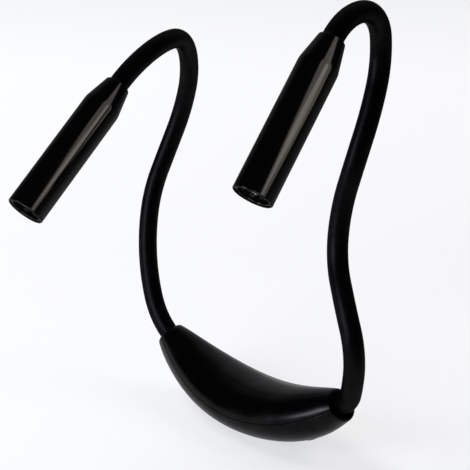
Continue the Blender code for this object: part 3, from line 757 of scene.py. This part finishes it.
def makeScrew(name, side):
    place = podStation(side * screw["station"])
    seat = podStart(side * screw["station"]) + screw["headDepth"] - slipFit
    head = seat - screw["headHeight"]
    tip = seat + screw["length"] - slipFit
    profile = roundedOutline([
        (0, tip, 0),
        (screw["tipRadius"], tip, 0),
        (screw["radius"], tip - screw["tipLength"], 0),
        (screw["radius"], seat, 0),
        (screw["headRadius"], seat, screw["seatRound"]),
        (screw["headRadius"], head, screw["headRound"]),
        (0, head, 0),
    ])
    piece = newObject(name + "CaseScrew", turnedBody(profile, screw["count"]), place)
    # A cross recess of two slots
    reach = screw["headRadius"] * screw["slotReach"]
    cutters = []
    for width, length in ((reach, screw["slotWidth"]), (screw["slotWidth"], reach)):
        outline = rectangle(width, screw["slotDepth"] * 2, 0, head)
        cutters.append(newObject("slot", prismBody(outline, -length / 2, length / 2), place))
    cutAway(piece, cutters)
    dress(piece, nickelPlate, "screw", "pod", name + "_case_screw")


# A drawn steel case, open at both ends
def makeSocket():
    place = podStation(button["station"])
    mouth = podSection(button["station"])[2] - socket["inset"]
    back = mouth - socket["length"]
    width, height = socket["width"], socket["height"]
    outline = rectangle(width, height, height * socket["round"], socketLevel())
    case = newObject("chargeSocket", prismBody(outline, back, mouth), place)
    width, height = width - 2 * socket["wall"], height - 2 * socket["wall"]
    outline = rectangle(width, height, height * socket["round"], socketLevel())
    past = socket["openPast"]
    cutAway(case, [newObject("socketInside", prismBody(outline, back - past, mouth + past), place)])
    dress(case, nickelPlate, "socket", "pod", "charge_socket")


# From the board to the skin of the outer shell, which is round both ways there
def makeLightPipe():
    surface, _, width = podSection(button["station"] + pipe["along"] / pod["radius"])
    outside = -surface * math.sqrt(1 - (pipe["across"] / width) ** 2)
    outside += pipe["along"] ** 2 / pod["radius"] / 2
    bottom = -board["depth"] - board["thickness"] - slipFit
    profile = roundedOutline([(0, bottom, 0), (pipe["radius"], bottom, 0),
                              (pipe["radius"], outside, pipe["tipRound"]), (0, outside, 0)])
    dress(newObject("lightPipe", turnedBody(profile, pipe["count"]), pipePlace()), pipePmma, "light_pipe",
          "pod", "light_pipe")


# CAD nodes that stay, with their finishes
keptNodes = {
    "battery_cell": pouchFoil, "socket_tongue": glassNylon,
    "left_board": greenMask, "right_board": greenMask,
    "left_switch": switchPlastic, "right_switch": switchPlastic,
    "left_led_board": whiteMask, "right_led_board": whiteMask,
}


def finishKeptNodes():
    for name in list(frame["nodes"]):
        material = springSteel if "_core_" in name else keptNodes.get(name)
        if material:
            node = bpy.data.objects[name]
            node.data.materials.clear()
            node.data.materials.append(material)


# Stage: white paper in a dark room with a pale wall behind
stage = {
    "paper": "#f9fafc", "paperSize": 30, "plain": 0.665,
    # Direction, start, end and share left of painted falloffs. Outside the camera's frame the paper's glow
    # is painted darker towards the camera and to its right, as painted shade, and a little whiter far
    # behind, as painted light.
    "paintedFalloffs": (((0.69, -0.72, 0), 60 * mm, 700 * mm, 0.35), ((0.853, 0.521, 0), 105 * mm, 300 * mm, 0.15),
              ((-0.69, 0.72, 0), 210 * mm, 700 * mm, 1.1)),
    "room": "#f4f6fa", "wallSide": (-0.603, 0.718, 0.342), "wallLevel": 0.6, "roomLevel": 0.02,
    "wallStart": 0.45, "wallFull": 0.95, "middle": (0, 0, 90 * mm),
}

# Softboxes by azimuth, elevation and distance from the middle of the object. Flags keep each one off the
# pieces whose names hold a word of its flags. The top and side ones don't show in the gloss.
lights = {
    "top": {"azimuth": 196 * degrees, "elevation": 50 * degrees, "distance": 1.8, "size": (1, 1),
            "power": 21, "colour": "#ffffff", "glossy": False, "flags": ()},
    "side": {"azimuth": 62 * degrees, "elevation": 46 * degrees, "distance": 1.5, "size": (0.8, 0.8),
             "power": 7.5, "colour": "#fff6ec", "glossy": False, "flags": ()},
    "front": {"azimuth": -108 * degrees, "elevation": 22 * degrees, "distance": 0.9, "size": (0.45, 0.45),
              "power": 6, "colour": "#e9ebff", "glossy": True, "flags": ("Shell", "Button")},
    "streak": {"azimuth": -99 * degrees, "elevation": -3 * degrees, "distance": 0.242, "size": (0.04, 0.08),
               "power": 0.31, "colour": "#eef0ff", "glossy": True, "flags": ("Sleeve", "paper")},
    "rim": {"azimuth": -50 * degrees, "elevation": 6 * degrees, "distance": 0.6, "size": (0.4, 0.3),
            "power": 5, "colour": "#f4f6ff", "glossy": True,
            "flags": ("Sleeve", "Shell", "Button", "paper")},
    "stripe": {"azimuth": 11 * degrees, "elevation": 33 * degrees, "distance": 0.8, "size": (0.56, 0.74),
               "power": 10.4, "colour": "#fff6ea", "glossy": True, "flags": ("Sleeve", "Shell", "paper")},
    "stripeCore": {"azimuth": 5 * degrees, "elevation": 27 * degrees, "distance": 0.78, "size": (0.28, 0.26),
                   "power": 2.4, "colour": "#fff6ea", "glossy": True, "flags": ("Sleeve", "Shell", "paper")},
}


# The camera and the reflections see most of the paper at its own colour, and the rest of it lit and shaded
def paperMaterial():
    material, tree, shader = newMaterial("matt white paper", {
        "Base Color": linear(stage["paper"]), "Roughness": 0.9, "Specular IOR Level": 0.1})
    place = addNode(tree, "TexCoord")
    level = None
    # Painted shade and light: the paper's glow is lowered or raised along each direction, by its place on
    # the paper
    for towards, start, end, left in stage["paintedFalloffs"]:
        past = addNode(tree, "VectorMath", {"operation": "DOT_PRODUCT", 1: towards},
                       {0: place.outputs["Object"]})
        fall = addNode(tree, "MapRange", {"From Min": start, "From Max": end, "To Min": 1.0, "To Max": left},
                       {"Value": past.outputs["Value"]}).outputs["Result"]
        if level:
            fall = addNode(tree, "Math", {"operation": "MULTIPLY"}, {0: level, 1: fall}).outputs["Value"]
        level = fall
    plain = addNode(tree, "Emission", {"Color": linear(stage["paper"])}, {"Strength": level})
    rays = addNode(tree, "LightPath")
    seen = addNode(tree, "Math", {"operation": "MAXIMUM"},
                   {0: rays.outputs["Is Camera Ray"], 1: rays.outputs["Is Glossy Ray"]})
    seen = addNode(tree, "Math", {"operation": "MAXIMUM"},
                   {0: seen.outputs["Value"], 1: rays.outputs["Is Transmission Ray"]})
    share = addNode(tree, "Math", {"operation": "MULTIPLY", 1: stage["plain"]}, {0: seen.outputs["Value"]})
    mixed = addNode(tree, "MixShader", {}, {0: share.outputs["Value"], 1: shader.outputs["BSDF"],
                                            2: plain.outputs["Emission"]})
    tree.links.new(mixed.outputs["Shader"], tree.nodes["Material Output"].inputs["Surface"])
    return material


def makeRoom():
    world = bpy.data.worlds.new("studio")
    bpy.context.scene.world = world
    world.use_nodes = True
    tree = world.node_tree
    background = tree.nodes["Background"]
    background.inputs["Color"].default_value = linear(stage["room"])
    place = addNode(tree, "TexCoord")
    facing = addNode(tree, "VectorMath", {"operation": "DOT_PRODUCT", 1: stage["wallSide"]},
                     {0: place.outputs["Generated"]})
    level = addNode(tree, "MapRange", {"interpolation_type": "SMOOTHSTEP", "From Min": stage["wallStart"],
                                       "From Max": stage["wallFull"], "To Min": stage["roomLevel"],
                                       "To Max": stage["wallLevel"]}, {"Value": facing.outputs["Value"]})
    tree.links.new(level.outputs["Result"], background.inputs["Strength"])


def makeStage():
    paperMesh = bmesh.new()
    bmesh.ops.create_grid(paperMesh, x_segments=1, y_segments=1, size=stage["paperSize"] / 2)
    paper = newObject("paper", paperMesh)
    paper.data.materials.append(paperMaterial())
    makeRoom()
    for name, light in lights.items():
        data = bpy.data.lights.new(name, "AREA")
        data.shape = "RECTANGLE"
        data.size, data.size_y = light["size"]
        data.energy = light["power"]
        data.color = linear(light["colour"])[:3]
        holder = bpy.data.objects.new(name, data)
        azimuth, elevation = light["azimuth"], light["elevation"]
        away = Vector((math.cos(azimuth) * math.cos(elevation), math.sin(azimuth) * math.cos(elevation),
                       math.sin(elevation)))
        holder.location = Vector(stage["middle"]) + away * light["distance"]
        holder.rotation_euler = (-away).to_track_quat("-Z", "Y").to_euler()
        holder.visible_camera = False
        holder.visible_glossy = light["glossy"]
        if light["flags"]:
            flagged = bpy.data.collections.new(name + "Flagged")
            for thing in bpy.data.objects:
                if any(word in thing.name for word in light["flags"]):
                    flagged.objects.link(thing)
            for member in flagged.collection_objects:
                member.light_linking.link_state = "EXCLUDE"
            holder.light_linking.receiver_collection = flagged
        bpy.context.scene.collection.objects.link(holder)


makeCamera()
print("pod")
makePod()
makeSocket()
makeLightPipe()
for name, side in sides.items():
    print("side", name)
    makeButton(name, side)
    makeScrew(name, side)
    makeNeck(name, side)
    makeLamp(name, side)
finishKeptNodes()
print("stage")
makeStage()

scene = bpy.context.scene
scene.view_settings.view_transform = "Standard"

print("done")
